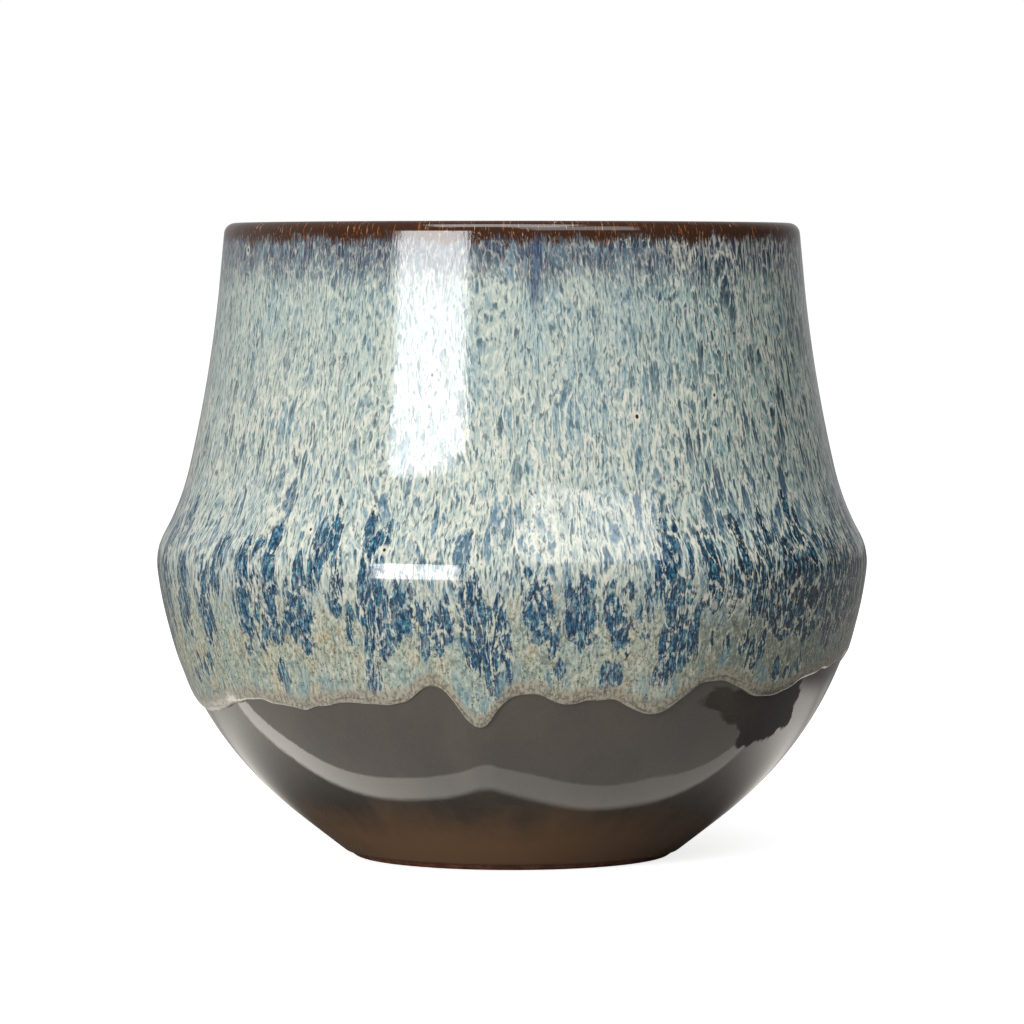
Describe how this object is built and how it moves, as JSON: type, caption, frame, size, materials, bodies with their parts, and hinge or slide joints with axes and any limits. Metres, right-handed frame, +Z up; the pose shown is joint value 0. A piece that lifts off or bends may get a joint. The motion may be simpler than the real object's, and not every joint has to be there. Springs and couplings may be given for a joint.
{
  "type": "flower vase",
  "caption": "Keeled stoneware flower vase with a wide straight mouth, a rounded bowl on a small turned foot, and a running reactive glaze.",
  "frame": {"origin": "centre of the foot ring, on the surface that the vase stands on", "axes": "+Z up along the vase's axis of revolution; -Y is the front, where the running coat's glaze pattern was seen, and +X is to the right of it"},
  "size_m": [0.219, 0.219, 0.195],
  "materials": {
    "bare_clay": "unglazed iron-bearing stoneware, matt, fine speckle",
    "base_glaze": "dark grey-brown gloss glaze with a faint mottle",
    "reactive_glaze": "gloss reactive glaze, pale grey-green ground with running blue and cream streaks",
    "rim_glaze": "thin gloss iron-brown glaze broken over the lip",
    "liner_glaze": "dark grey-brown gloss glaze"
  },
  "bodies": {
    "root": {"clay_body": "bare_clay", "base_glaze": "base_glaze", "reactive_glaze": "reactive_glaze", "rim_glaze": "rim_glaze", "liner_glaze": "liner_glaze"}
  },
  "joints": []
}
